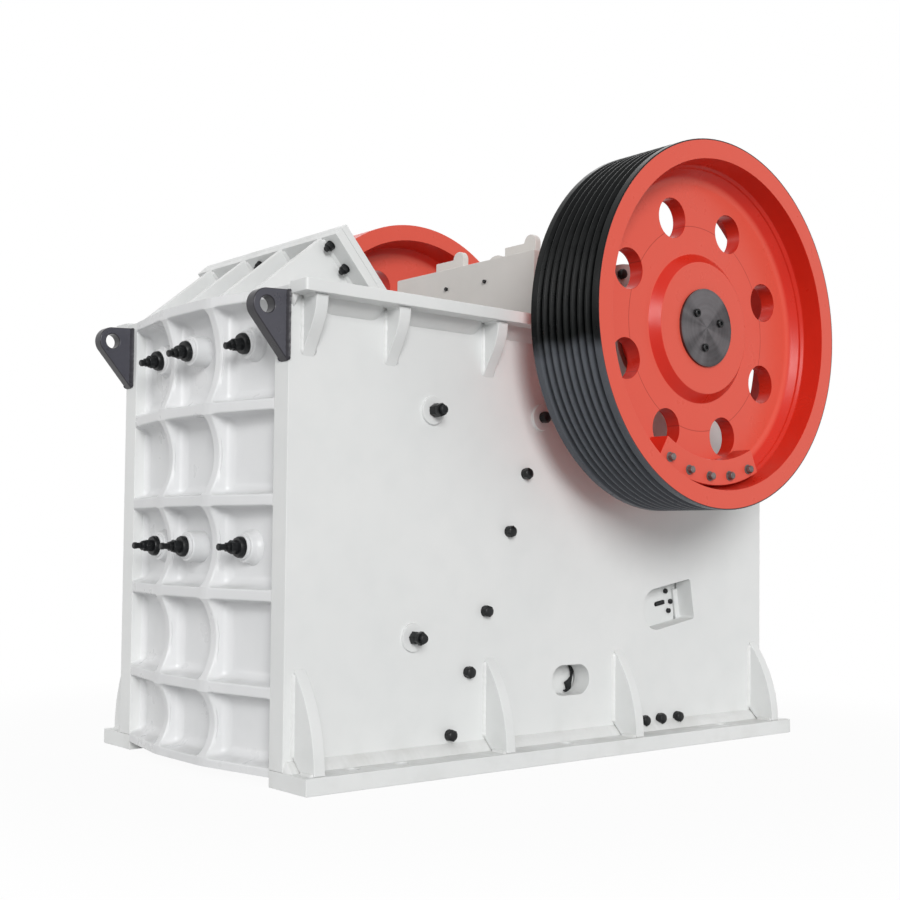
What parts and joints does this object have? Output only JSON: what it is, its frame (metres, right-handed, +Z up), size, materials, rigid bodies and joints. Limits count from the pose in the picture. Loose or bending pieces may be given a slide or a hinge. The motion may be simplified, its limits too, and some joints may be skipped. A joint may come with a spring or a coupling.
{
  "type": "jaw crusher",
  "caption": "Single-toggle jaw crusher: ribbed box frame, toothed jaws, swinging pitman on an eccentric shaft, grooved drive sheave and plain flywheel.",
  "frame": {"origin": "centre of the outer anchor-bolt rectangle, on the underside of the base rails", "axes": "+X along the shaft towards the grooved sheave, +Y from the ribbed front wall to the rear wall, +Z up"},
  "size_m": [2.786, 3.493, 3.025],
  "materials": {
    "white_paint": "semi-gloss off-white machine enamel, slightly uneven, with dust in the corners",
    "grey_paint": "light grey primer paint on castings",
    "red_enamel": "glossy orange-red enamel",
    "black_paint": "dark blue-black semi-gloss paint",
    "jaw_steel": "dark cast manganese steel with worn bright teeth",
    "turned_steel": "turned steel with fine concentric marks"
  },
  "bodies": {
    "frame": {"right_base_rail": "white_paint", "left_base_rail": "white_paint", "right_side_plate": "white_paint", "left_side_plate": "white_paint", "right_base_gussets": "white_paint", "left_base_gussets": "white_paint", "right_top_flange": "white_paint", "left_top_flange": "white_paint", "right_top_gussets": "white_paint", "left_top_gussets": "white_paint", "front_wall": "white_paint", "rear_wall": "white_paint", "feed_apron_plate": "white_paint", "feed_apron_ribs": "white_paint", "right_bearing_housing": "white_paint", "left_bearing_housing": "white_paint", "toggle_seat": "white_paint", "fixed_jaw_plate": "jaw_steel", "right_lower_cheek_plate": "jaw_steel", "left_lower_cheek_plate": "jaw_steel", "right_upper_cheek_plate": "jaw_steel", "left_upper_cheek_plate": "jaw_steel", "feed_apron_liner": "white_paint", "toggle_plate": "jaw_steel", "front_adjusting_wedge": "jaw_steel", "rear_adjusting_wedge": "jaw_steel", "right_lifting_lug": "black_paint", "left_lifting_lug": "black_paint", "tension_rods": "black_paint", "tension_springs": "black_paint"},
    "drive": {"eccentric_shaft": "turned_steel", "drive_sheave": "red_enamel", "flywheel": "red_enamel", "sheave_counterweight": "red_enamel", "flywheel_counterweight": "red_enamel", "sheave_end_disc": "turned_steel", "flywheel_end_disc": "turned_steel"},
    "swing_jaw": {"pitman": "grey_paint", "moving_jaw_plate": "jaw_steel", "jaw_clamp": "grey_paint", "pitman_guard": "grey_paint", "guard_ears": "grey_paint"}
  },
  "joints": [
    {"name": "shaft_turn", "type": "hinge", "parent": "frame", "child": "drive", "pos_m": [0, 0.5465, 2.124], "axis": [1, 0, 0], "continuous": true},
    {"name": "pitman_swing", "type": "hinge", "parent": "drive", "child": "swing_jaw", "pos_m": [0, 0.5465, 2.144], "axis": [1, 0, 0], "continuous": true}
  ],
  "couplings": [
    {"joint": "pitman_swing", "follows": "shaft_turn", "ratio": -1}
  ]
}
